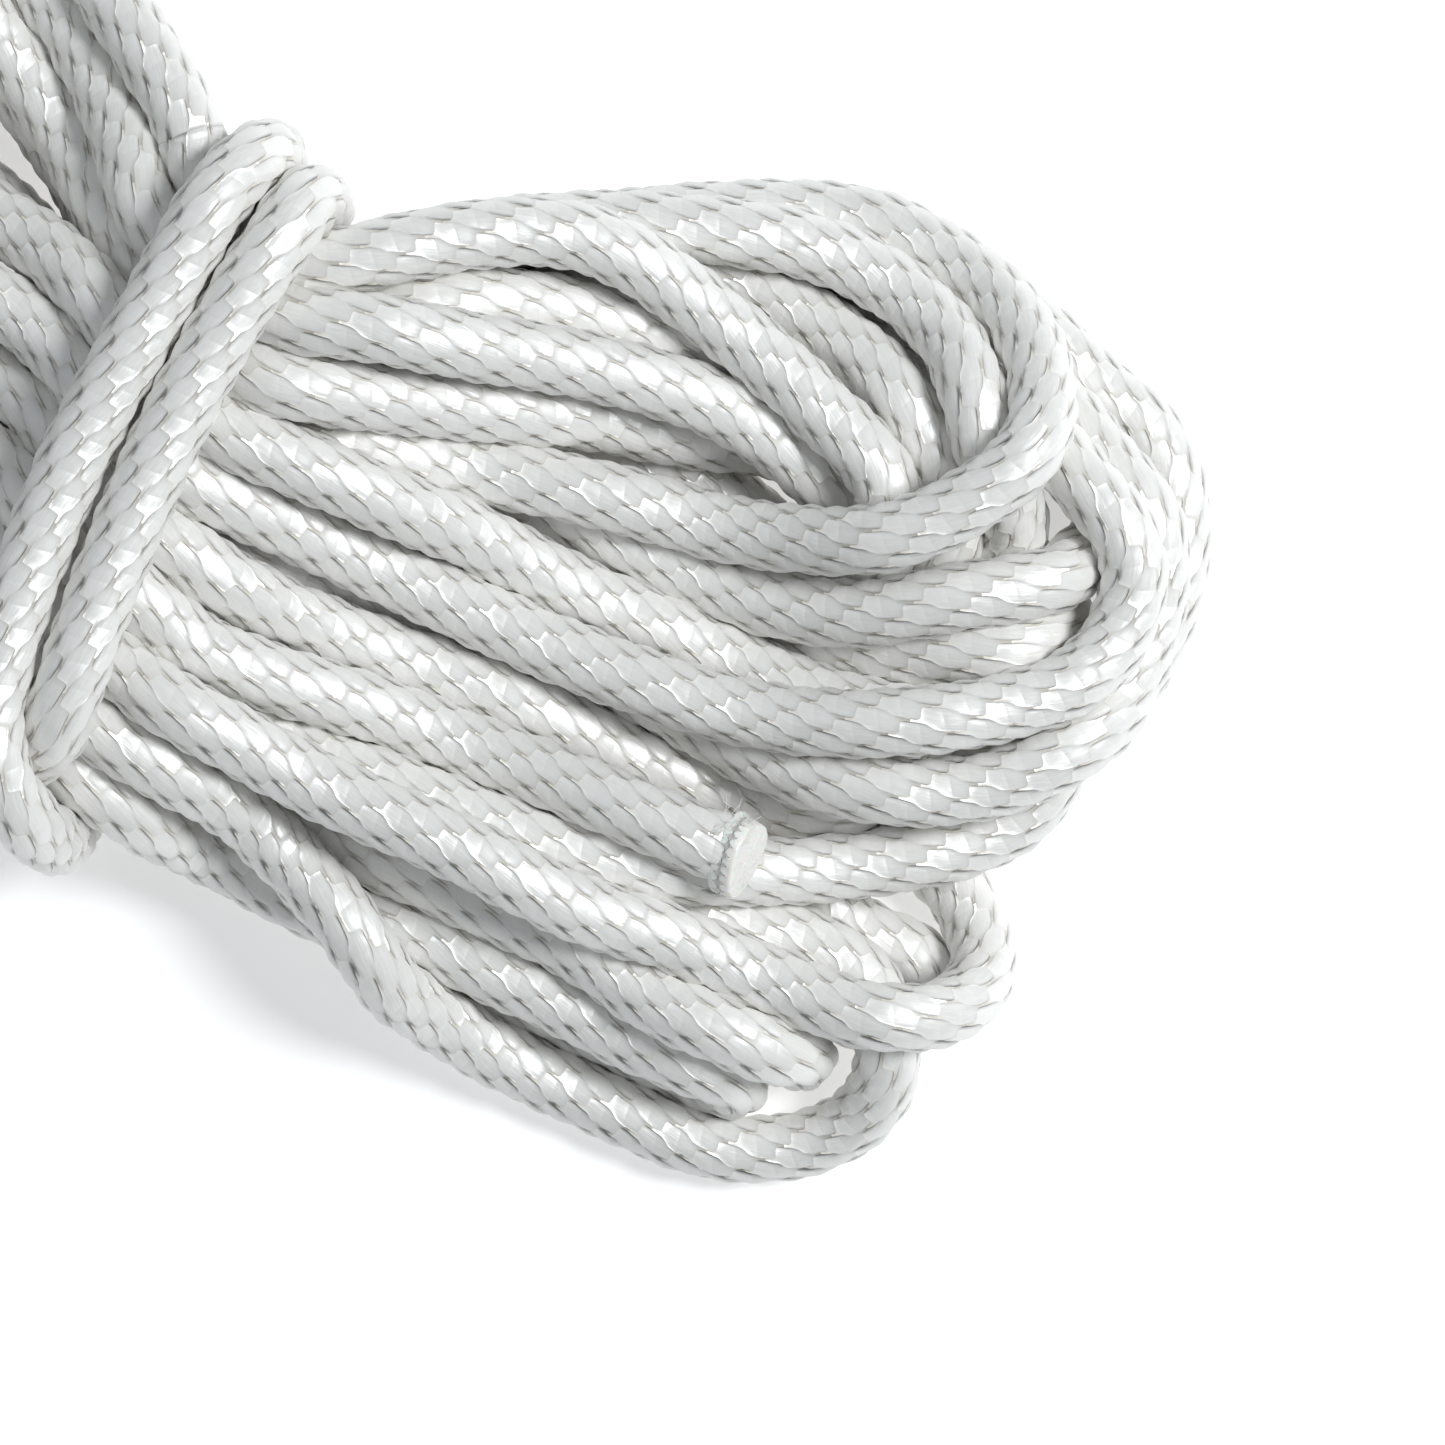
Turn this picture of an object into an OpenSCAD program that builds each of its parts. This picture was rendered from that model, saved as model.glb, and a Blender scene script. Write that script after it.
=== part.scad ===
// A dock line of white solid-braid rope, folded into a hank and bound round the middle
// by two frapping turns. Sizes are in millimetres. The routes are given about the middle
// of the waist on the resting surface, with +X along the hank and +Z up.

/* [Rope] */
// Diameter of the rope
rope_d = 9.5; // [9:0.5:10]
// Sides of a swept tube
tube_sides = 8; // [8:1:12]

/* [Hank] */
// Thickness of the right-hand lobe under its loose bights
right_lobe_h = 24; // [20:1:24]
// Thickness of the left-hand lobe
left_lobe_h = 32; // [24:1:40]
// Reach of the left-hand lobe from the middle of the waist
left_lobe_reach = 118; // [110:1:124]
// Angle between the left-hand lobe and the rest of the hank
left_lobe_turn = 27; // [15:1:35]

/* [Waist] */
// Width of the gathered turns inside the frapping
waist_w = 84; // [80:1:90]
// Thickness of the gathered turns inside the frapping
waist_h = 29; // [26:1:32]
// Length of the gathered stretch
waist_len = 31; // [28:1:34]
// Distance of the frapping from the middle of the waist, along the hank
bound_at = -7; // [-9:0.5:-5]
// Lean of the frapping and of the gathered stretch
frapping_lean = 5.5; // [0:0.5:8]
// Spacing of the two frapping turns
turn_gap = 9.7; // [9.5:0.1:12]

/* [Ends] */
// Length of each heat-sealed tip
tip_len = 3; // [2:0.5:4]
// Diameter of each tip where the melt has spread
tip_d = 10.5; // [10:0.5:12]

/* [Hidden] */

rope_r = rope_d / 2;
rope_white = [0.93, 0.93, 0.91];
tip_white = [0.88, 0.87, 0.82];

// The middle of the waist, seen from the centre of the whole hank's box
waist_at = [-12, -9, 0];

// Right-hand lobe: its outline from the waist out, round and back, and how far its corners
// are rounded
lobe_round = 12;
right_lobe_outline = [
    [12.4, 41], [30, 55], [54, 66], [82, 70], [106, 64], [124, 54],
    [134, 40], [134, 24], [128, 6], [118, -10], [98, -18], [60, -23], [6, -26]
];

// Left-hand lobe: a square neck against the waist and a wide round end
neck_w = 78;
neck_len = 8;
left_end_r = 46;

// Routes of the stretches that stand clear of the hank
crossing_route = [
    [13, 39, 34], [29, 48, 35], [43, 52, 36], [58, 47, 36], [73, 41, 34], [83, 37, 29]
];
top_route = [
    [84, 66, 29], [96, 62, 32], [103, 53, 35], [103, 43, 37], [96, 34, 38],
    [88, 27, 37], [79, 24, 34], [71, 22, 31], [52, 20, 29]
];
small_route = [
    [13, -25, 30], [29, -28, 29], [48, -29, 29], [66, -31, 27], [84, -33, 25], [99, -33, 23],
    [112, -32, 22], [119, -29, 20], [122, -22, 17], [119, -17, 14]
];
bottom_route = [
    [13, -32, 34], [21, -34, 33], [31, -39, 28], [40, -44, 18], [50, -50, 9], [61, -54, 6],
    [80, -56, 5], [96, -56, 5], [106, -53, 6], [113, -46, 7], [114, -39, 8], [111, -32, 9],
    [104, -26, 11]
];
lower_fold_route = [
    [13, -39, 24], [21, -42, 22], [39, -45, 20], [55, -46, 22], [71, -47, 24], [85, -48, 24],
    [93, -48, 21], [95, -48, 14], [92, -48, 8], [82, -47, 6], [62, -45, 5], [41, -43, 5]
];
upper_fold_route = [
    [34, -34, 20], [51, -37, 22], [70, -39, 24], [87, -41, 25], [97, -41, 23],
    [101, -41, 15], [97, -40, 8], [85, -39, 6], [64, -37, 5], [44, -35, 5]
];
start_route = [
    [13, -18, 32], [20, -18, 31], [38, -17, 30], [55, -18, 29], [72, -18, 29], [85, -18, 29]
];
finish_route = [
    [-26, -37, 14], [-33, -43, 9], [-42, -45, 6], [-53, -42, 5], [-64, -37, 6]
];

function unit(v) = v / norm(v);
function heading(route, i) =
    unit(route[min(i + 1, len(route) - 1)] - route[max(i - 1, 0)]);
function sideways(along) =
    unit(cross(along, abs(along[2]) > 0.9 ? [1, 0, 0] : [0, 0, 1]));

// Carries one ring's sideways direction on to the next, so that the tube doesn't twist
function carried(side, along) = unit(side - (side * along) * along);
function sides_of(route, i = 0, found = []) =
    i == len(route) ? found
    : sides_of(route, i + 1, concat(found, [
        i == 0 ? sideways(heading(route, 0)) : carried(found[i - 1], heading(route, i))
    ]));

function ring(middle, along, side, r) =
    let (up = cross(side, along))
    [for (k = [0:tube_sides - 1])
        let (a = 360 * k / tube_sides)
        middle + r * (cos(a) * side + sin(a) * up)];

function quad(i, k) =
    let (next = (k + 1) % tube_sides)
    [i * tube_sides + k, i * tube_sides + next,
     (i + 1) * tube_sides + next, (i + 1) * tube_sides + k];

// One closed tube swept along a route, a little over the rope's radius at its corners
module tube(route) {
    sides = sides_of(route);
    last = len(route) - 1;
    points = [for (i = [0:last]) each ring(route[i], heading(route, i), sides[i], rope_r)];
    walls = [for (i = [0:last - 1]) for (k = [0:tube_sides - 1]) quad(i, k)];
    start_cap = [for (k = [tube_sides - 1:-1:0]) k];
    end_cap = [for (k = [0:tube_sides - 1]) last * tube_sides + k];
    translate(waist_at) color(rope_white)
        polyhedron(points = points, faces = concat([start_cap], walls, [end_cap]));
}

// A short melted plug on the end of a route, spread at its outer face
module sealed_tip(route) {
    last = len(route) - 1;
    along = heading(route, last);
    turn = atan2(along[1], along[0]);
    drop = acos(along[2]);
    translate(waist_at + route[last]) rotate([0, drop, turn]) color(tip_white)
        rotate_extrude($fn = 48) polygon([
            [0, 0], [rope_r, 0], [tip_d / 2, 0.6 * tip_len],
            [tip_d / 2 - 0.5, tip_len], [0, tip_len]
        ]);
}

// Lays the gathered stretch and its frapping across the hank with their lean
module bound_in_place() {
    translate(waist_at + [bound_at, 0, 0]) rotate(-frapping_lean) children();
}

// Half of a frapping turn's round side, bulging towards +Y
module round_side(bend_r) {
    rotate([0, -90, 0]) rotate_extrude(angle = 180, $fn = 96)
        translate([bend_r, 0]) circle(r = rope_r, $fn = 48);
}

// One frapping turn: two round sides joined by straight runs over and under the waist
module frapping_turn(x) {
    bend_r = waist_h / 2 + rope_r;
    straight = waist_w - waist_h;
    bound_in_place() translate([x, 0, rope_d + waist_h / 2]) color(rope_white) {
        translate([0, straight / 2, 0]) round_side(bend_r);
        translate([0, -straight / 2, 0]) mirror([0, 1, 0]) round_side(bend_r);
        for (z = [-bend_r, bend_r])
            translate([0, -straight / 2, z]) rotate([-90, 0, 0])
                cylinder(r = rope_r, h = straight, $fn = 48);
    }
}

module right_lobe() {
    translate(waist_at) color(rope_white)
        linear_extrude(height = right_lobe_h)
            offset(r = lobe_round, $fn = 48) offset(delta = -lobe_round)
                polygon(right_lobe_outline);
}

module waist() {
    bound_in_place() translate([-waist_len / 2, 0, rope_d + waist_h / 2])
        rotate([90, 0, 90]) color(rope_white)
            linear_extrude(height = waist_len) {
                square([waist_w - waist_h, waist_h], center = true);
                for (side = [-1, 1])
                    translate([side * (waist_w - waist_h) / 2, 0])
                        circle(d = waist_h, $fn = 64);
            }
}

module left_lobe() {
    translate(waist_at) color(rope_white)
        linear_extrude(height = left_lobe_h) hull() {
            translate([bound_at, 0]) rotate(-frapping_lean)
                translate([-(waist_len + neck_len) / 2, 0])
                    square([neck_len, neck_w], center = true);
            rotate(180 - left_lobe_turn) translate([left_lobe_reach - left_end_r, 0])
                circle(r = left_end_r, $fn = 96);
        }
}

module inner_frapping_turn() { frapping_turn(-turn_gap / 2); }
module outer_frapping_turn() { frapping_turn(turn_gap / 2); }
module crossing_bight() { tube(crossing_route); }
module top_loop() { tube(top_route); }
module small_loop() { tube(small_route); }
module bottom_loop() { tube(bottom_route); }
module upper_folded_bight() { tube(upper_fold_route); }
module lower_folded_bight() { tube(lower_fold_route); }
module starting_end() { tube(start_route); }
module starting_tip() { sealed_tip(start_route); }
module finishing_end() { tube(finish_route); }
module finishing_tip() { sealed_tip(finish_route); }

right_lobe();
waist();
left_lobe();
inner_frapping_turn();
outer_frapping_turn();
crossing_bight();
top_loop();
small_loop();
bottom_loop();
upper_folded_bight();
lower_folded_bight();
starting_end();
starting_tip();
finishing_end();
finishing_tip();
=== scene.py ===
import math
import time

import bpy
import numpy as np
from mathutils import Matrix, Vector


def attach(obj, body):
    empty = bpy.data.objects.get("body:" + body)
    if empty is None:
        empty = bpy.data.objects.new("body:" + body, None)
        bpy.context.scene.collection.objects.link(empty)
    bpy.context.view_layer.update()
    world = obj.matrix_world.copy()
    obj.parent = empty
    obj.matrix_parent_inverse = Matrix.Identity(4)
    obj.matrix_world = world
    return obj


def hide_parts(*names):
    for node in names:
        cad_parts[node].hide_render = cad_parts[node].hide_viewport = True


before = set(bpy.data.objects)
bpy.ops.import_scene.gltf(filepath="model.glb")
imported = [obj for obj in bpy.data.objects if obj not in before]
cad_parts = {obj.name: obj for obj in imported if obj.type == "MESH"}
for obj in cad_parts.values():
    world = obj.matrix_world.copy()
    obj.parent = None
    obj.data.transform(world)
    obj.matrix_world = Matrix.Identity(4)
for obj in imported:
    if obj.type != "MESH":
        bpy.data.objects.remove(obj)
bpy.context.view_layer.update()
startTime = time.time()


def report(stage):
    print("stage: %s (%.0f s)" % (stage, time.time() - startTime))


# Camera, straight above, with the hank running down to the right

mm = 0.001
waistAt = np.array([-12, -9, 0]) * mm        # middle of the waist in the row frame
hankSlope = math.radians(20)                 # how far the hank's axis falls away to the right

cameraSizes = {
    "looksAt": np.array([77.3, -2.4, 20]) * mm,   # from the middle of the waist
    "height": 0.85,
    "frameWidth": 0.1907,
    "sensor": 36.0,
}


def addCamera():
    data = bpy.data.cameras.new("camera")
    camera = bpy.data.objects.new("camera", data)
    bpy.context.collection.objects.link(camera)
    spot = waistAt + cameraSizes["looksAt"]
    camera.location = (spot[0], spot[1], spot[2] + cameraSizes["height"])
    camera.rotation_euler = (0, 0, hankSlope)
    data.sensor_width = cameraSizes["sensor"]
    data.lens = cameraSizes["sensor"] * cameraSizes["height"] / cameraSizes["frameWidth"]
    data.clip_start = 0.01
    bpy.context.scene.camera = camera


addCamera()

# The line's route: right-hand bights and frapping given point by point, left-hand bights by a rule

lineSizes = {
    "diameter": 9.5 * mm,
    "contact": 0.93,          # how close two runs may lie, in diameters
    "pointGap": 4.5 * mm,     # spacing of the route's points while it settles
    "slotAt": -4,             # where the slots below stand, along the hank
}
diameter = lineSizes["diameter"]
radius = diameter / 2

# Millimetres from the middle of the waist, in the order in which the line runs through them
rightBights = {
    "startEnd": [(85, -18, 27), (62, -18, 27), (38, -17, 28), (11, -18, 31)],
    "crossBight": [
        (9, 37, 33), (16, 41, 34), (29, 48, 36), (37, 51, 36), (46, 51, 36), (55, 48, 36),
        (64, 45, 36), (73, 41, 34), (80, 38, 32), (86, 35, 29), (89, 31, 25), (91, 26, 18),
        (90, 21, 11), (86, 19, 6), (80, 22, 5), (72, 25, 5), (62, 27, 5), (50, 26, 7),
        (30, 20, 12)],
    "lowerFold": [
        (9, -40, 26), (16, -41, 18), (24, -42, 12), (31, -43, 11), (39, -44, 12),
        (47, -44, 16), (54, -44, 20), (69, -44, 22), (84, -46, 22), (90, -46, 20),
        (94, -46, 14), (92, -47, 7), (85, -47, 5), (65, -46, 5), (50, -45, 5), (36, -42, 5),
        (21, -39, 6)],
    "upperBight": [
        (15, 41, 25), (29, 49, 27), (43, 55, 28), (57, 59, 28), (65, 61, 28), (74, 61, 28),
        (81, 59, 28), (86, 57, 28), (92, 52, 27), (96, 47, 26), (99, 41, 21), (105, 33, 14),
        (108, 23, 12), (108, 13, 12), (101, 7, 14), (92, 6, 17), (84, 6, 20), (77, 6, 24),
        (68, 6, 26), (56, 7, 28), (35, 10, 28), (24, 11, 28), (12, 11, 30)],
    "upperFold": [
        (8, -32, 22), (21, -33, 20), (34, -33, 22), (50, -35, 26), (69, -37, 28), (79, -39, 28),
        (90, -40, 26), (97, -40, 24), (102, -40, 18), (100, -40, 10), (93, -39, 6),
        (82, -38, 5), (64, -36, 5), (40, -33, 5), (21, -31, 7)],
    "broadBight": [
        (20, 32, 14), (33, 35, 6), (50, 40, 5), (69, 44, 5), (80, 47, 6), (88, 49, 9),
        (96, 50, 15), (104, 47, 22), (109, 44, 26), (118, 39, 28), (121, 34, 28),
        (122, 28, 28), (121, 22, 28), (111, 12, 28), (100, 6, 29), (81, 0, 29), (59, -1, 29),
        (31, 1, 30), (12, 3, 31)],
    "bottomLoop": [
        (4, -31, 33), (13, -32, 32), (22, -35, 29), (28, -38, 25), (34, -41, 20),
        (40, -44, 14), (47, -48, 9), (50, -50, 8), (61, -54, 5), (82, -56, 5), (95, -56, 5),
        (103, -54, 5), (108, -51, 6), (113, -46, 7), (114, -40, 8), (113, -35, 9),
        (109, -30, 10), (105, -27, 12), (99, -26, 13), (90, -27, 14), (69, -28, 14),
        (41, -27, 14), (14, -24, 16)],
    "topLoop": [
        (17, 38, 15), (30, 47, 15), (43, 54, 16), (52, 59, 16), (63, 64, 17), (72, 66, 19),
        (80, 66, 23), (86, 65, 26), (91, 64, 29), (94, 62, 31), (97, 60, 33), (100, 57, 34),
        (102, 53, 35), (103, 49, 36), (103, 45, 37), (102, 42, 38), (99, 38, 38), (96, 34, 38),
        (93, 30, 38), (88, 27, 37), (79, 24, 34), (71, 22, 31), (62, 21, 27), (52, 20, 24),
        (42, 19, 22), (20, 16, 22)],
    "smallLoop": [
        (3, -25, 31), (13, -25, 30), (29, -28, 28), (48, -29, 26), (66, -31, 24),
        (88, -33, 24), (97, -33, 24), (105, -33, 23), (112, -31, 22), (118, -29, 21),
        (121, -26, 19), (122, -22, 17), (119, -17, 14), (114, -13, 10), (107, -10, 6),
        (100, -11, 5), (97, -16, 5), (100, -21, 5), (107, -23, 5), (114, -24, 5),
        (117, -28, 5), (113, -32, 5), (104, -33, 5), (90, -31, 5), (70, -29, 5), (36, -26, 5),
        (19, -20, 7)],
    "lowestBight": [
        (14, 35, 9), (24, 40, 5), (38, 48, 5), (52, 54, 5), (66, 58, 5), (78, 60, 5),
        (91, 60, 5), (100, 58, 5), (107, 57, 5), (112, 55, 5), (120, 51, 5), (125, 45, 6),
        (127, 39, 8), (128, 31, 8), (127, 23, 7), (125, 16, 6), (119, 9, 5), (111, 4, 5),
        (99, -1, 5), (83, -3, 5), (67, -5, 5), (32, -6, 5), (16, -7, 9)],
    "highBight": [
        (8, 30, 31), (20, 31, 28), (31, 33, 27), (53, 37, 25), (59, 37, 24), (67, 37, 22),
        (74, 36, 19), (81, 33, 15), (88, 30, 10), (95, 29, 6), (103, 30, 6), (111, 27, 10),
        (110, 21, 14), (99, 14, 17), (90, 12, 18), (80, 12, 17), (71, 13, 13), (60, 13, 8),
        (48, 13, 6), (35, 10, 6), (19, 5, 7)],
    "innerBight": [
        (14, 18, 9), (24, 33, 6), (36, 44, 8), (51, 52, 12), (60, 53, 14), (80, 49, 16),
        (86, 46, 15), (91, 41, 13), (97, 34, 10), (102, 25, 6), (105, 14, 5), (104, 5, 6),
        (100, -3, 9), (94, -8, 12), (85, -10, 17), (66, -8, 25), (53, -8, 27), (26, -9, 27),
        (8, -7, 31)],
    "middleBight": [
        (14, 30, 20), (26, 36, 20), (36, 41, 19), (45, 42, 18), (66, 43, 13), (77, 41, 12),
        (88, 43, 11), (100, 50, 11), (111, 49, 10), (117, 46, 10), (119, 40, 11),
        (114, 33, 15), (108, 28, 18), (100, 22, 21), (90, 17, 23), (80, 15, 24), (70, 13, 24),
        (61, 15, 24), (34, 17, 21), (14, 11, 20)],
    "sideBight": [
        (13, -23, 20), (26, -24, 17), (40, -25, 16), (69, -25, 16), (81, -23, 16),
        (111, -8, 16), (117, -3, 15), (120, 2, 15), (121, 7, 14), (119, 13, 11), (116, 19, 8),
        (109, 24, 6), (95, 30, 5), (84, 35, 6), (75, 37, 9), (67, 35, 13), (60, 32, 17),
        (54, 31, 20), (46, 30, 23), (23, 22, 26), (9, 21, 31)],
    "outerBight": [
        (13, -3, 20), (26, -2, 18), (40, -2, 18), (68, -3, 17), (83, -5, 23), (99, -4, 25),
        (108, -1, 25), (116, 4, 24), (125, 16, 22), (126, 24, 20), (126, 31, 19),
        (124, 36, 19), (121, 40, 18), (111, 48, 14), (96, 54, 7), (88, 53, 5), (79, 51, 5),
        (68, 49, 5), (56, 46, 5), (38, 40, 5), (26, 36, 5)],
}

# Where each of them passes under the frapping, going out and coming back: (y, z)
waistSlots = {
    "startEnd": (None, (-13, 33.5)),
    "crossBight": ((37, 33.5), (20, 14.5)),
    "lowerFold": ((-37, 33.5), (-36, 14.5)),
    "upperBight": ((36, 24), (13, 33.5)),
    "upperFold": ((-32, 24), (-28, 14.5)),
    "broadBight": ((28, 24), (5, 33.5)),
    "bottomLoop": ((-29, 33.5), (-15, 24)),
    "topLoop": ((36, 14.5), (11, 24)),
    "smallLoop": ((-21, 33.5), (-20, 14.5)),
    "lowestBight": ((28, 14.5), (-6, 14.5)),
    "highBight": ((29, 33.5), (2, 14.5)),
    "innerBight": ((11, 14.5), (-4, 33.5)),
    "middleBight": ((20, 24), (3, 24)),
    "sideBight": ((-23.5, 24), (21, 33.5)),
    "outerBight": ((-6, 24), None),
}

leftBights = {
    "from": -17,              # where the rule starts, along the hank
    "spread": (1.05, 9.0),    # how the runs fan out between the slots and there
    "lowLean": 10,            # how far the lower runs lean, in degrees
    "highLean": 42,           # and the upper ones
    "topFan": (20, 30),       # where the lean grows, for the runs on top
    "deepFan": (4, 38),       # and for those under them
    "topHeight": 30,          # height over which a run counts as on top
    "handle": 1.36,           # length of the curve's handles, for each unit of reach
    "droop": 0.08,
    "steps": 16,
    "reaches": [95, 90, 84, 92, 78, 88, 95, 80, 91, 85, 76, 92, 70, 87],
}

# Two turns over the waist, from under its upper edge to under its lower one and out to the end
frappingPoints = [
    (14, 30, 5), (8, 12, 5), (3, -8, 5), (-2, -26, 5), (-6, -37, 6), (-9, -43, 11),
    (-9.5, -45, 18), (-9, -44, 25), (-7, -40, 32), (-4.5, -35, 38), (-3.4, -30, 42),
    (-3.2, -25, 43), (-3.3, -14, 43), (-2.7, 2, 43), (-1.7, 13, 43), (-0.4, 22, 43),
    (0.8, 29, 43), (2.4, 36, 42), (3.6, 41.5, 37.5), (4, 43.2, 30), (4, 43.2, 21),
    (3.4, 42, 13), (1.5, 37, 7), (-1, 28, 5), (-4, 10, 5), (-5, -10, 5), (-3.5, -28, 5),
    (-1.5, -38, 6), (-0.2, -44.5, 11), (0.3, -46.8, 19), (0, -46.8, 27), (-1.8, -45.6, 34),
    (-5.4, -42, 40), (-8.6, -38.4, 43), (-11.2, -33.5, 43.5), (-12.6, -26, 43.3),
    (-13.1, -14, 43), (-12.5, 2, 43), (-10.8, 14.5, 43), (-9.6, 22, 43), (-8.4, 30, 43),
    (-6.9, 38.5, 42.5), (-5.2, 44, 38), (-3.6, 46.9, 30), (-3.6, 46.9, 21), (-5, 45, 13),
    (-7.5, 39, 7), (-10, 29, 5), (-13, 10, 5), (-15, -10, 5), (-16, -26, 5),
]

finishTail = [(-19, -36, 5), (-25, -43, 5), (-34, -46, 5), (-50, -43, 5), (-64, -37, 5)]


def fanned(value, low, high):
    t = min(1, max(0, (value - low) / (high - low)))
    return t * t * (3 - 2 * t)


def leftBight(fromSlot, toSlot, reach):
    ends = []
    handles = []
    for y, z in (fromSlot, toSlot):
        stretch, shift = leftBights["spread"]
        y = y * stretch + shift
        onTop = z > leftBights["topHeight"]
        fan = fanned(y, *leftBights["topFan" if onTop else "deepFan"])
        lean = leftBights["lowLean"] + fan * (leftBights["highLean"] - leftBights["lowLean"])
        lean = math.radians(lean)
        end = np.array([leftBights["from"], y, z], dtype=float)
        away = np.array([-math.cos(lean), math.sin(lean), -leftBights["droop"]])
        ends.append(end)
        handles.append(end + away * reach * leftBights["handle"])
    steps = leftBights["steps"]
    points = []
    for i in range(steps + 1):
        t = i / steps
        points.append((1 - t) ** 3 * ends[0] + 3 * t * (1 - t) ** 2 * handles[0]
                      + 3 * t * t * (1 - t) * handles[1] + t ** 3 * ends[1])
    return [tuple(p) for p in points]


def smoothCurve(points, gap, fineSteps=24):
    # an even-spaced Catmull-Rom curve through the points
    p = np.array(points, dtype=float)
    p = np.vstack([2 * p[0] - p[1], p, 2 * p[-1] - p[-2]])
    pieces = []
    for i in range(1, len(p) - 2):
        t = np.linspace(0, 1, fineSteps, endpoint=False)[:, None]
        a, b, c, d = p[i - 1], p[i], p[i + 1], p[i + 2]
        knots = [0.0]
        for q, r in ((a, b), (b, c), (c, d)):
            knots.append(knots[-1] + max(1e-6, np.linalg.norm(r - q)) ** 0.5)
        k0, k1, k2, k3 = knots
        u = k1 + (k2 - k1) * t
        ab = (k1 - u) / (k1 - k0) * a + (u - k0) / (k1 - k0) * b
        bc = (k2 - u) / (k2 - k1) * b + (u - k1) / (k2 - k1) * c
        cd = (k3 - u) / (k3 - k2) * c + (u - k2) / (k3 - k2) * d
        abc = (k2 - u) / (k2 - k0) * ab + (u - k0) / (k2 - k0) * bc
        bcd = (k3 - u) / (k3 - k1) * bc + (u - k1) / (k3 - k1) * cd
        pieces.append((k2 - u) / (k2 - k1) * abc + (u - k1) / (k2 - k1) * bcd)
    fine = np.vstack(pieces + [p[-2:-1]])
    return evenly(fine, gap)


def evenly(line, gap):
    steps = np.linalg.norm(np.diff(line, axis=0), axis=1)
    along = np.concatenate([[0], np.cumsum(steps)])
    count = max(2, int(round(along[-1] / gap)) + 1)
    wanted = np.linspace(0, along[-1], count)
    return np.stack([np.interp(wanted, along, line[:, k]) for k in range(3)], axis=1)


def wholeRoute():
    names = list(rightBights)
    points = []
    marks = []       # where each piece of line starts: the number of its first listed point
    for i, name in enumerate(names):
        out, back = waistSlots[name]
        marks.append(len(points))
        if out:
            points.append((lineSizes["slotAt"],) + out)
        points += rightBights[name]
        if back:
            points.append((lineSizes["slotAt"],) + back)
            following = waistSlots[names[i + 1]][0]
            points += leftBight(back, following, leftBights["reaches"][i])
    marks.append(len(points))
    points += frappingPoints
    frappingEnds = (marks[-1], len(points))
    points += finishTail
    return names, points, marks, frappingEnds


names, handPoints, marks, frappingEnds = wholeRoute()
handPoints = np.array(handPoints, dtype=float) * mm
route = smoothCurve(handPoints, lineSizes["pointGap"])


def nearestIndex(line, point, start, end):
    return start + int(np.argmin(np.linalg.norm(line[start:end] - point, axis=1)))


def markIndices():
    # the route's point at the start of each piece, found by length along the listed points
    found = [0]
    short, long, least = 30, 60, 5       # how far round the guess to look, in points
    for mark in marks[1:] + [frappingEnds[1] - 1]:
        steps = np.linalg.norm(np.diff(handPoints[:mark + 1], axis=0), axis=1)
        guess = int(steps.sum() / lineSizes["pointGap"])
        found.append(nearestIndex(route, handPoints[mark],
                                  max(found[-1] + least, guess - short), guess + long))
    return found


markIndex = markIndices()
frapEnd = markIndex.pop()
frapStart = markIndex[-1]
report("route of %.2f m in %d points" % (lineSizes["pointGap"] * (len(route) - 1), len(route)))


# The line settles: its runs push each other apart and sink until they lie on something

settling = {
    "rounds": 500,
    "grip": (0.05, 0.06),     # pull back to the drawn place: part that fades, part that stays
    "frappingGrip": 0.3,
    "frappingWeight": 4,      # how much less the tight frapping gives way than a loose run
    "sink": 0.05 * mm,
    "sinkFades": 0.6,
    "lookAgain": 6,           # rounds between two lists of the runs that lie close
    "lookAround": 1.5,        # how close those are, in contact distances
    "apart": 2.2,             # points less far along the line than this, in diameters, don't push
    "crowding": 0.55,         # how much less a point pressed by many gives way to each
    "stiffness": 0.06,
    "gathered": (-10, 5),     # stretch of the waist held to the width below
    "upperLimit": (35.8, -0.5),   # y of the outermost run's middle, and its change along x
    "lowerLimit": (-37.5, -0.3),
    "lowAndHigh": (14.5, 33.5),
}


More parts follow.
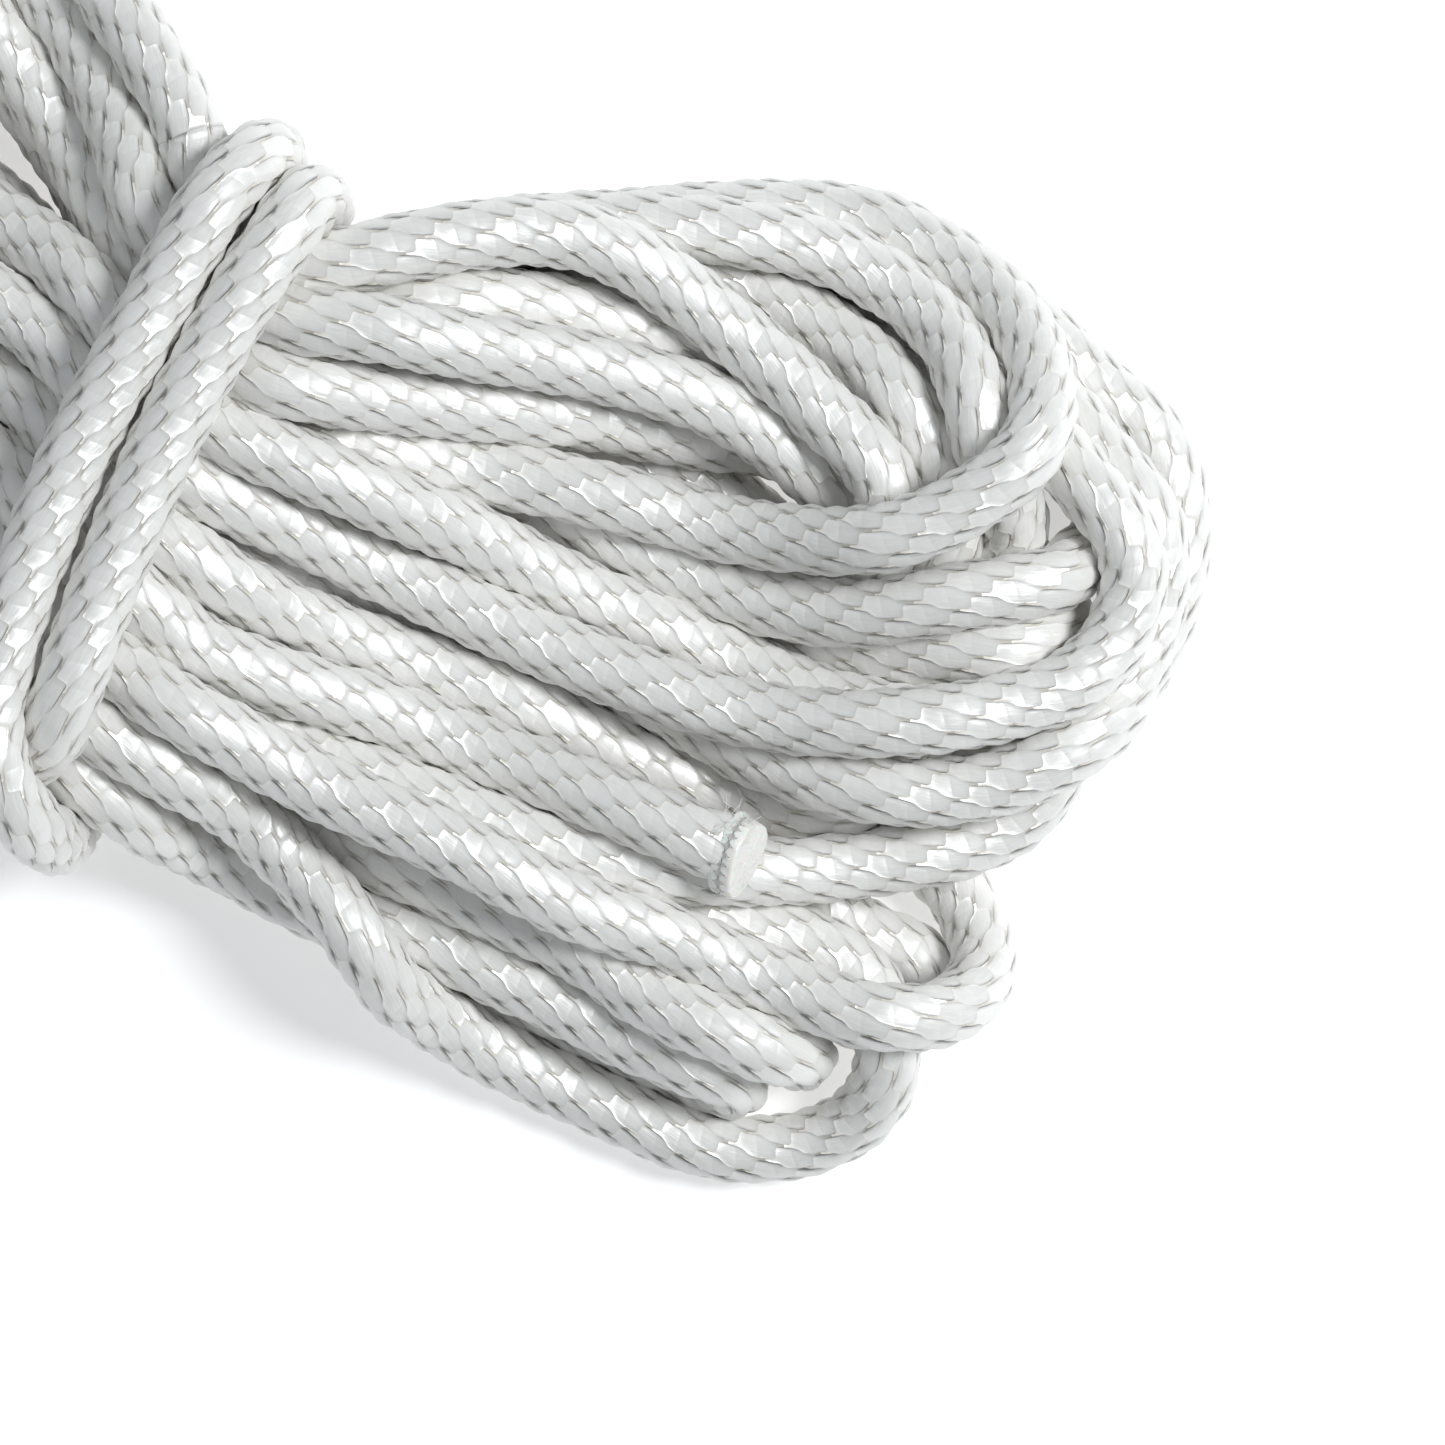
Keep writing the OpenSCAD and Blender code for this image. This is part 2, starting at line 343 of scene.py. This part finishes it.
def settle(line, rounds):
    target = line.copy()
    p = line.copy()
    count = len(p)
    gap = lineSizes["pointGap"]
    near = diameter * lineSizes["contact"]
    held = np.zeros(count)
    held[frapStart:frapEnd + 1] = 1
    free = 1 - held
    ease = free + held / settling["frappingWeight"]
    apart = int(math.ceil(settling["apart"] * diameter / gap))
    fading, staying = settling["grip"]
    for step in range(rounds):
        late = step / rounds
        if step % settling["lookAgain"] == 0:
            square = (p ** 2).sum(axis=1)
            spread = square[:, None] + square[None, :] - 2 * p @ p.T
            first, second = np.nonzero(
                np.triu(spread < (settling["lookAround"] * near) ** 2, apart))
            share = ease[first] + ease[second]
        # weight, and a pull back to the drawn place
        p[:, 2] -= free * settling["sink"] * (1 - settling["sinkFades"] * late)
        pull = free * (fading * (1 - late) + staying)
        p[:, :2] += pull[:, None] * (target - p)[:, :2]
        p += (held * settling["frappingGrip"])[:, None] * (target - p)
        bend = np.zeros_like(p)
        bend[2:-2] = p[:-4] - 4 * p[1:-3] + 6 * p[2:-2] - 4 * p[3:-1] + p[4:]
        p -= free[:, None] * bend * settling["stiffness"]
        for parity in (0, 1):
            a = np.arange(parity, count - 1, 2)
            b = a + 1
            link = p[b] - p[a]
            length = np.linalg.norm(link, axis=1)[:, None] + 1e-12
            move = 0.5 * (length - gap) * link / length
            p[a] += move * free[a][:, None]
            p[b] -= move * free[b][:, None]
        for _ in range(2):
            link = p[second] - p[first]
            length = np.linalg.norm(link, axis=1) + 1e-12
            deep = np.maximum(0, near - length)
            push = (link / length[:, None]) * deep[:, None]
            moves = np.zeros_like(p)
            hits = np.bincount(first, deep > 0, count) + np.bincount(second, deep > 0, count)
            for k in range(3):
                moves[:, k] = (np.bincount(second, push[:, k] * ease[second] / share, count)
                               - np.bincount(first, push[:, k] * ease[first] / share, count))
            p += moves / np.maximum(1, settling["crowding"] * hits)[:, None]
        # the gathered waist
        left, right = settling["gathered"]
        inside = (p[:, 0] > left * mm) & (p[:, 0] < right * mm) & (held < 0.5)
        x = p[inside, 0]
        upper = settling["upperLimit"][0] * mm + settling["upperLimit"][1] * x
        lower = settling["lowerLimit"][0] * mm + settling["lowerLimit"][1] * x
        p[inside, 1] = np.clip(p[inside, 1], lower, upper)
        low, high = settling["lowAndHigh"]
        p[inside, 2] = np.clip(p[inside, 2], low * mm, high * mm)
        p[:, 2] = np.maximum(p[:, 2], radius)
    return p


settled = settle(route, settling["rounds"] // (1))
report("settled")

# The braid: one stitch is a long pillow, and the surface is the highest of those that overlap

braid = {
    "around": 14,             # stitches round the line
    "repeat": 7.785 * mm,     # from one stitch to the next in its own column
    "skew": 5,                # repeats that the pattern moves along in one trip round
    "shear": 0.0864,          # how far the columns turn round the line as they run along it
    "columns": 4,             # mesh columns to a stitch
    "rings": 14,              # mesh rings to a repeat
    "lean": math.radians(14),     # a stitch's own direction, from the line's axis
    "halfLong": 4.4 * mm,
    "halfWide": 1.7 * mm,
    "slant": 0.35,            # how far its ends are cut across, for each unit of its width
    "relief": 1.0 * mm,       # from the crown of a stitch to the bottom of a deep crease
    "ridge": 1.35,            # how fast it falls away from its crown, along it
    "barrelPower": 0.22,      # how round it is across: flat on top if small
    "tieBreak": 0.001,
}
sideStep = 2 * math.pi * radius / braid["around"]
backShare = braid["skew"] / braid["around"]
ringGap = braid["repeat"] / braid["rings"]
columnCount = braid["around"] * braid["columns"]


def onStitch(ds, dc):
    # place on a stitch, from -1 to 1 along and across it, at ds along and dc across the line
    dt = dc + braid["shear"] * ds
    side = dt * math.cos(braid["lean"]) - ds * math.sin(braid["lean"])
    far = ds * math.cos(braid["lean"]) + dt * math.sin(braid["lean"]) - braid["slant"] * side
    return far / braid["halfLong"], side / braid["halfWide"]


def stitchHeight(far, side):
    arch = np.maximum(0, 1 - np.abs(far) ** braid["ridge"])
    barrel = np.maximum(0, 1 - side ** 2)
    return arch * barrel ** braid["barrelPower"]


def patternPoints(half):
    # points of one repeat, on its rings and columns or half a step on from them
    s = (np.arange(braid["rings"])[:, None] + half) * ringGap
    c = (np.arange(columnCount)[None, :] + half) * sideStep / braid["columns"]
    return s, c


def stitchMiddles():
    found = []
    for across in range(-2, braid["around"] + 3):
        for along in range(-9, 10):
            middle = ((along - across * backShare) * braid["repeat"], across * sideStep)
            if -braid["repeat"] < middle[0] < 2 * braid["repeat"]:
                found.append(middle)
    return np.array(found)


def braidRelief():
    # height of the surface over one repeat of the pattern, ring by ring and column by column
    s, c = patternPoints(0)
    best = np.zeros((braid["rings"], columnCount))
    for middle in stitchMiddles():
        best = np.maximum(best, stitchHeight(*onStitch(s - middle[0], c - middle[1])))
    return best


def nearStitches():
    # where each face's corners lie on the stitch on top there, and on the one next to it
    s, c = patternPoints(0.5)
    middles = stitchMiddles()
    heights = []
    for middle in middles:
        far, side = onStitch(s - middle[0], c - middle[1])
        heights.append(stitchHeight(far, side) - braid["tieBreak"] * (far ** 2 + side ** 2))
    order = np.argsort(-np.array(heights), axis=0)[:2]
    halfRing, halfColumn = ringGap / 2, sideStep / braid["columns"] / 2
    corners = []
    for along, across in ((-1, -1), (1, -1), (1, 1), (-1, 1)):
        far, side = onStitch(s + along * halfRing - middles[order, 0],
                             c + across * halfColumn - middles[order, 1])
        corners.append(np.stack([far, side], axis=-1))
    return np.stack(corners, axis=-2)


relief = braidRelief()
stitchPlaces = nearStitches()


def frames(line):
    # directions along and across, carried from ring to ring without a twist
    along = np.gradient(line, axis=0)
    along /= np.linalg.norm(along, axis=1)[:, None]
    side = np.zeros_like(line)
    start = np.cross(along[0], [0, 0, 1.0])
    side[0] = start / np.linalg.norm(start)
    for i in range(1, len(line)):
        v = side[i - 1] - along[i] * (side[i - 1] @ along[i])
        side[i] = v / np.linalg.norm(v)
    return along, side, np.cross(side, along)


fineLine = smoothCurve(settled, ringGap)
along, side, up = frames(fineLine)
report("%d rings, %.2f m" % (len(fineLine), ringGap * (len(fineLine) - 1)))


def lineSurface(rows):
    # the braid's surface over these rings, with a point in the middle of each end
    angle = -(np.arange(columnCount)[None, :] / columnCount * 2 * math.pi
              + rows[:, None] * ringGap * braid["shear"] / radius)
    reach = radius - braid["relief"] * (1 - relief[rows % braid["rings"], :])
    ring = (np.cos(angle)[..., None] * side[rows][:, None, :]
            + np.sin(angle)[..., None] * up[rows][:, None, :])
    points = fineLine[rows][:, None, :] + reach[..., None] * ring
    return np.vstack([points.reshape(-1, 3), fineLine[rows[0]], fineLine[rows[-1]]]) + waistAt


def meshPiece(name, first, last):
    # rings first to last of the line, closed at both ends
    rows = np.arange(first, last + 1)
    points = lineSurface(rows)
    r = np.arange(len(rows) - 1)[:, None]
    k = np.arange(columnCount)[None, :]
    n = (k + 1) % columnCount
    quads = np.stack([r * columnCount + k, (r + 1) * columnCount + k,
                      (r + 1) * columnCount + n, r * columnCount + n], axis=-1)
    quads = quads.reshape(-1, 4)
    lastRing = (len(rows) - 1) * columnCount
    ends = []
    for j in range(columnCount):
        following = (j + 1) % columnCount
        ends.append((len(points) - 2, j, following))
        ends.append((len(points) - 1, lastRing + following, lastRing + j))
    mesh = bpy.data.meshes.new(name)
    loops = np.concatenate([quads.ravel(), np.array(ends).ravel()]).astype(np.int32)
    mesh.vertices.add(len(points))
    mesh.vertices.foreach_set("co", points.astype(np.float32).ravel())
    mesh.loops.add(len(loops))
    mesh.loops.foreach_set("vertex_index", loops)
    mesh.polygons.add(len(quads) + len(ends))
    starts = np.concatenate([np.arange(len(quads)) * 4, len(quads) * 4 + np.arange(len(ends)) * 3])
    mesh.polygons.foreach_set("loop_start", starts.astype(np.int32))
    mesh.polygons.foreach_set("use_smooth", np.ones(len(starts), dtype=bool))
    for layer, layerName in enumerate(("stitch", "neighbour")):
        places = stitchPlaces[layer][rows[:-1] % braid["rings"]].reshape(-1, 2)
        places = np.vstack([places, np.zeros((len(ends) * 3, 2))])
        uv = mesh.uv_layers.new(name=layerName)
        uv.data.foreach_set("uv", places.astype(np.float32).ravel())
    mesh.update(calc_edges=True)
    mesh.validate()
    piece = bpy.data.objects.new(name, mesh)
    bpy.context.collection.objects.link(piece)
    return piece


# Materials: a group works out the stitch under each point, and the shaders use what it says

class Wiring:
    # adds nodes to a tree and links sums to one another
    def __init__(self, tree):
        self.tree = tree

    def node(self, kind, **settings):
        made = self.tree.nodes.new(kind)
        for name, value in settings.items():
            setattr(made, name, value)
        return made

    def put(self, socket, value):
        if isinstance(value, bpy.types.NodeSocket):
            self.tree.links.new(value, socket)
        else:
            socket.default_value = value

    def sum(self, operation, *values):
        made = self.node("ShaderNodeMath", operation=operation)
        for i, value in enumerate(values):
            self.put(made.inputs[i], value)
        return made.outputs[0]

    def vector(self, x, y, z):
        made = self.node("ShaderNodeCombineXYZ")
        for i, value in enumerate((x, y, z)):
            self.put(made.inputs[i], value)
        return made.outputs[0]

    def noise(self, vector, scale, detail, roughness=0.5):
        made = self.node("ShaderNodeTexNoise")
        self.put(made.inputs["Vector"], vector)
        made.inputs["Scale"].default_value = scale
        made.inputs["Detail"].default_value = detail
        made.inputs["Roughness"].default_value = roughness
        return made.outputs["Fac"]

    def blend(self, factor, low, high):
        made = self.node("ShaderNodeMix", data_type="RGBA")
        self.put(made.inputs[0], factor)
        self.put(made.inputs[6], low)
        self.put(made.inputs[7], high)
        return made.outputs[2]

    def ramp(self, value, low, high, to=(0, 1)):
        made = self.node("ShaderNodeMapRange", interpolation_type="SMOOTHSTEP")
        self.put(made.inputs[0], value)
        for i, limit in enumerate((low, high) + tuple(to)):
            self.put(made.inputs[i + 1], limit)
        return made.outputs[0]


def stitchGroup():
    # outputs: height over the stitch on top, and the place along and across it
    group = bpy.data.node_groups.new("stitch under the point", "ShaderNodeTree")
    for name in ("Height", "Along", "Across"):
        group.interface.new_socket(name, in_out="OUTPUT", socket_type="NodeSocketFloat")
    w = Wiring(group)
    found = []
    for name in ("stitch", "neighbour"):
        split = w.node("ShaderNodeSeparateXYZ")
        w.put(split.inputs[0], w.node("ShaderNodeUVMap", uv_map=name).outputs[0])
        far, side = split.outputs[0], split.outputs[1]
        fall = w.sum("POWER", w.sum("ABSOLUTE", far), braid["ridge"])
        arch = w.sum("MAXIMUM", 0, w.sum("SUBTRACT", 1, fall))
        barrel = w.sum("MAXIMUM", 0, w.sum("SUBTRACT", 1, w.sum("MULTIPLY", side, side)))
        height = w.sum("MULTIPLY", arch, w.sum("POWER", barrel, braid["barrelPower"]))
        found.append((height, far, side))
    higher = w.sum("GREATER_THAN", found[1][0], found[0][0])
    picked = [w.sum("MAXIMUM", found[0][0], found[1][0])]
    for here, other in zip(found[0][1:], found[1][1:]):
        picked.append(w.sum("MULTIPLY_ADD", w.sum("SUBTRACT", other, here), higher, here))
    out = w.node("NodeGroupOutput")
    for i, value in enumerate(picked):
        w.put(out.inputs[i], value)
    return group


ropeLook = {
    "crown": (0.86, 0.85, 0.815, 1),   # colours of the filaments, and of the painted shade in the creases
    "pale": (0.94, 0.93, 0.90, 1),
    "creaseShade": (0.66, 0.57, 0.41, 1),
    "index": 1.9,                 # over nylon's own, for the silky shine
    "roughness": (0.32, 0.46),
    "bump": 1.2,                 # millimetres, beside what the mesh already has
    "filament": 0.05,
    "filamentsAcross": 5.0,       # streaks over half a stitch's width
    "filamentsAlong": 1.2,
    "drift": (230.0, 310.0),      # how fast the streaks change over the line, along x and y
    "streakRange": (0.35, 0.7),   # part of the noise that turns the colour pale
    "streakPale": 0.5,
    "creaseShadeRange": (0.25, 0.6),   # heights over which the painted crease shade fades
    "creaseShadeStrength": 0.45,
    "shine": 1.0,
    "anisotropy": 0.5,            # the shine spreads across the filaments
    "sheen": 0.1,
}


def ropeMaterial(stitches):
    material = bpy.data.materials.new("white braided nylon")
    material.use_nodes = True
    w = Wiring(material.node_tree)
    shader = material.node_tree.nodes["Principled BSDF"]
    stitch = w.node("ShaderNodeGroup", node_tree=stitches)
    height, far, across = stitch.outputs
    # filaments run along the stitch, in other bundles from one stitch to the next
    split = w.node("ShaderNodeSeparateXYZ")
    w.put(split.inputs[0], w.node("ShaderNodeTexCoord").outputs["Object"])
    driftX, driftY = ropeLook["drift"]
    drift = w.sum("MULTIPLY_ADD", split.outputs[0], driftX,
                  w.sum("MULTIPLY", split.outputs[1], driftY))
    streaks = w.noise(w.vector(w.sum("MULTIPLY", across, ropeLook["filamentsAcross"]),
                               w.sum("MULTIPLY", far, ropeLook["filamentsAlong"]), drift),
                      1.0, 2.0, 0.6)
    # painted shade: the low places between the stitches are tinted darker tan, where shade falls
    # in them
    creaseShade = w.ramp(height, *ropeLook["creaseShadeRange"], (1, 0))
    paleness = w.ramp(streaks, *ropeLook["streakRange"], (0.0, ropeLook["streakPale"]))
    colour = w.blend(paleness, ropeLook["crown"], ropeLook["pale"])
    shade = w.sum("MULTIPLY", creaseShade, ropeLook["creaseShadeStrength"])
    colour = w.blend(shade, colour, ropeLook["creaseShade"])
    w.put(shader.inputs["Base Color"], colour)
    w.put(shader.inputs["Roughness"], w.ramp(streaks, 0.3, 0.7, ropeLook["roughness"]))
    shader.inputs["IOR"].default_value = ropeLook["index"]
    shader.inputs["Specular IOR Level"].default_value = ropeLook["shine"]
    shader.inputs["Sheen Weight"].default_value = ropeLook["sheen"]
    shader.inputs["Sheen Roughness"].default_value = 0.4
    shader.inputs["Anisotropic"].default_value = ropeLook["anisotropy"]
    shader.inputs["Anisotropic Rotation"].default_value = 0.25
    w.put(shader.inputs["Tangent"],
          w.node("ShaderNodeTangent", direction_type="UV_MAP", uv_map="stitch").outputs[0])
    raised = w.sum("MULTIPLY_ADD", streaks, ropeLook["filament"],
                   w.sum("MULTIPLY", height, ropeLook["bump"]))
    bump = w.node("ShaderNodeBump")
    bump.inputs["Strength"].default_value = 1.0
    bump.inputs["Distance"].default_value = 1.0 * mm
    w.put(bump.inputs["Height"], raised)
    w.put(shader.inputs["Normal"], bump.outputs[0])
    return material


tipLook = {
    "colour": (0.86, 0.85, 0.80, 1),
    "cloudy": (0.93, 0.92, 0.88, 1),
    "roughness": 0.3,
    "glow": 0.25,                 # how far light goes into the melt
}


def meltedMaterial():
    material = bpy.data.materials.new("melted nylon")
    material.use_nodes = True
    w = Wiring(material.node_tree)
    shader = material.node_tree.nodes["Principled BSDF"]
    place = w.node("ShaderNodeTexCoord").outputs["Object"]
    cloud = w.noise(place, 420.0, 4.0)
    w.put(shader.inputs["Base Color"], w.blend(cloud, tipLook["colour"], tipLook["cloudy"]))
    w.put(shader.inputs["Roughness"], w.ramp(cloud, 0.2, 0.8, (0.2, 0.45)))
    shader.inputs["Subsurface Weight"].default_value = tipLook["glow"]
    shader.inputs["Subsurface Scale"].default_value = 1.5 * mm
    shader.inputs["Coat Weight"].default_value = 0.3
    bump = w.node("ShaderNodeBump")
    bump.inputs["Distance"].default_value = 0.25 * mm
    w.put(bump.inputs["Height"], w.noise(place, 900.0, 3.0))
    w.put(shader.inputs["Normal"], bump.outputs[0])
    return material


ropeWhite = ropeMaterial(stitchGroup())
meltedWhite = meltedMaterial()

# Pieces: one for each right-hand bight with the left-hand one after it, then the frapping

fineScale = (len(fineLine) - 1) / (len(settled) - 1)
cuts = [int(round(i * fineScale)) for i in markIndex] + [len(fineLine) - 1]
pieceNames = ["line_start"]
pieceNames += ["line_turn_%02d" % i for i in range(1, len(names))]
pieceNames += ["line_frapping"]
standsFor = {
    "line_start": ["starting_end", "left_lobe"],
    "line_turn_01": ["crossing_bight", "right_lobe"],
    "line_turn_02": ["lower_folded_bight"],
    "line_turn_04": ["upper_folded_bight"],
    "line_turn_06": ["bottom_loop"],
    "line_turn_07": ["top_loop", "waist"],
    "line_turn_08": ["small_loop"],
    "line_frapping": ["inner_frapping_turn", "outer_frapping_turn", "finishing_end"],
}

tip = {
    "long": 3.4 * mm,
    "spread": 1.13,           # its widest part over the rope's radius
    "sunk": 1.7 * mm,         # how far it reaches back into the braid
    "insets": [0.7 * mm, 1.5 * mm, 1.5 * mm],
    "lumps": 0.35 * mm,
    "fibres": 22,
    "fibreLong": (1.5 * mm, 4.0 * mm),
    "fibreThick": 0.035 * mm,
}


def meltedTip(name, node, ring, outward, seed):
    # a short disc of melt on the line's end, lumpy and a little wider than the braid
    bpy.ops.object.select_all(action="DESELECT")
    bpy.ops.mesh.primitive_cylinder_add(vertices=24, radius=radius * tip["spread"],
                                        depth=tip["long"], location=(0, 0, 0))
    piece = bpy.context.object
    piece.name = name
    for polygon in piece.data.polygons:
        polygon.select = abs(polygon.normal.z) > 0.99
    bpy.ops.object.mode_set(mode="EDIT")
    for inset in tip["insets"]:
        bpy.ops.mesh.inset(thickness=inset, use_individual=True)
    bpy.ops.object.mode_set(mode="OBJECT")
    smooth = piece.modifiers.new("smooth", "SUBSURF")
    smooth.levels = smooth.render_levels = 2
    bpy.ops.object.modifier_apply(modifier=smooth.name)
    rng = np.random.default_rng(seed)
    waves = rng.uniform(-1, 1, (10, 3)) / (1.6 * mm)
    phases = rng.uniform(0, 2 * math.pi, 10)
    middle = fineLine[ring] + waistAt + outward * (tip["long"] / 2 - tip["sunk"])
    turn = Vector((0, 0, 1)).rotation_difference(Vector(outward)).to_matrix()
    for vertex in piece.data.vertices:
        p = np.array(vertex.co)
        lump = np.sin(waves @ p + phases).sum() / 10 * tip["lumps"] * 2
        # the open face is pushed over to one side, as it sets after pressing
        stretch = 1 + lump / radius * 2 + 0.05 * p[0] / radius
        p = p * np.array([stretch, stretch, 1]) + np.array([0, 0, lump])
        vertex.co = Vector(middle) + turn @ Vector(p)
        vertex.co.z = max(vertex.co.z, 0)        # it lies on the floor
    bpy.ops.object.shade_smooth()
    piece.data.materials.append(meltedWhite)
    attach(piece, "root")
    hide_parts(node)
    return piece


def looseFibres(name, ring, outward, seed):
    # broken filaments that stand out of the braid just behind the melt
    rng = np.random.default_rng(seed)
    curve = bpy.data.curves.new(name, "CURVE")
    curve.dimensions = "3D"
    curve.bevel_depth = tip["fibreThick"]
    curve.bevel_resolution = 1
    centre = fineLine[ring] + waistAt
    upward = np.array([0, 0, 1.0])
    sideways = np.cross(upward, outward)
    for i in range(tip["fibres"]):
        turn = rng.uniform(0.1, 1.5)
        away = sideways * math.sin(turn) + upward * math.cos(turn)
        start = centre + away * radius * 0.86 - outward * rng.uniform(-1.0, 3.0) * mm
        long = rng.uniform(*tip["fibreLong"])
        heading = away + outward * rng.uniform(-0.2, 1.3) + sideways * rng.uniform(0, 0.9)
        heading /= np.linalg.norm(heading)
        curl = rng.normal(0, 0.35, 3)
        spline = curve.splines.new("POLY")
        spline.points.add(7)
        for j, point in enumerate(spline.points):
            t = j / 7
            place = start + long * (heading * t + curl * t * t * 0.5 - upward * 0.35 * t * t)
            point.co = (*place, 1)
    piece = bpy.data.objects.new(name, curve)
    bpy.context.collection.objects.link(piece)
    bpy.ops.object.select_all(action="DESELECT")
    bpy.context.view_layer.objects.active = piece
    piece.select_set(True)
    bpy.ops.object.convert(target="MESH")
    piece = bpy.context.object
    piece.data.materials.append(meltedWhite)
    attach(piece, "root")
    return piece


def tilted(direction, lift):
    # the melt's face, pressed back from square
    turned = direction + np.array([0, 0, lift])
    return turned / np.linalg.norm(turned)


startTip = meltedTip("melted_start", "starting_tip", 0, tilted(-along[0], 0.4), 4)
finishTip = meltedTip("melted_finish", "finishing_tip", len(fineLine) - 1,
                      tilted(along[-1], 0.15), 9)
startFibres = looseFibres("loose_filaments", 2, -along[0], 11)

for i, name in enumerate(pieceNames):
    first, last = cuts[i], cuts[i + 1]
    piece = meshPiece(name, first, last)
    piece.data.materials.append(ropeWhite)
    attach(piece, "root")
    if name in standsFor:
        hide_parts(*standsFor[name])
    path = fineLine[first:last + 1] + waistAt
    if i == 0:
        path = path[::-1]
    length = float(np.linalg.norm(np.diff(path, axis=0), axis=1).sum())
report("pieces")

# Floor and light

stageSizes = {
    "floor": 6,
    "floorColour": (0.96, 0.96, 0.96, 1),
    "centre": (0.06, -0.01, 0.02),
    "floorGlow": 0.36,
    "skyColour": (0.90, 0.95, 1, 1),
    "sky": 0.28,
}
lights = {      # towards the view's right, its top and overhead; distance, size, watts, colour
    "key": ((0.72, 0.2, 1.0), 1.1, 0.4, 9.2, (0.96, 0.98, 1)),
    "fill": ((-0.7, 0.3, 0.8), 1.3, 1.0, 1.0, (0.9, 0.95, 1)),
}


def addFloor():
    bpy.ops.mesh.primitive_plane_add(size=stageSizes["floor"], location=(0, 0, 0))
    floor = bpy.context.object
    floor.name = "floor"
    material = bpy.data.materials.new("pale floor")
    material.use_nodes = True
    shader = material.node_tree.nodes["Principled BSDF"]
    shader.inputs["Base Color"].default_value = stageSizes["floorColour"]
    shader.inputs["Roughness"].default_value = 0.9
    shader.inputs["Emission Color"].default_value = stageSizes["floorColour"]
    shader.inputs["Emission Strength"].default_value = stageSizes["floorGlow"]
    floor.data.materials.append(material)


def addLight(name, towards, distance, size, watts, colour):
    data = bpy.data.lights.new(name, "AREA")
    data.shape = "DISK"
    data.size = size
    data.energy = watts
    data.color = colour
    light = bpy.data.objects.new(name, data)
    bpy.context.collection.objects.link(light)
    rightWay = Vector((math.cos(hankSlope), math.sin(hankSlope), 0))
    upWay = Vector((-math.sin(hankSlope), math.cos(hankSlope), 0))
    direction = rightWay * towards[0] + upWay * towards[1] + Vector((0, 0, towards[2]))
    centre = Vector(stageSizes["centre"])
    light.location = centre + direction.normalized() * distance
    light.rotation_euler = (centre - light.location).to_track_quat("-Z", "Y").to_euler()


def addSky():
    world = bpy.data.worlds.new("studio")
    world.use_nodes = True
    background = world.node_tree.nodes["Background"]
    background.inputs["Color"].default_value = stageSizes["skyColour"]
    background.inputs["Strength"].default_value = stageSizes["sky"]
    bpy.context.scene.world = world


addFloor()
for name, settings in lights.items():
    addLight(name, *settings)
addSky()
bpy.context.scene.view_settings.view_transform = "Standard"

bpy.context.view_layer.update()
report("done")
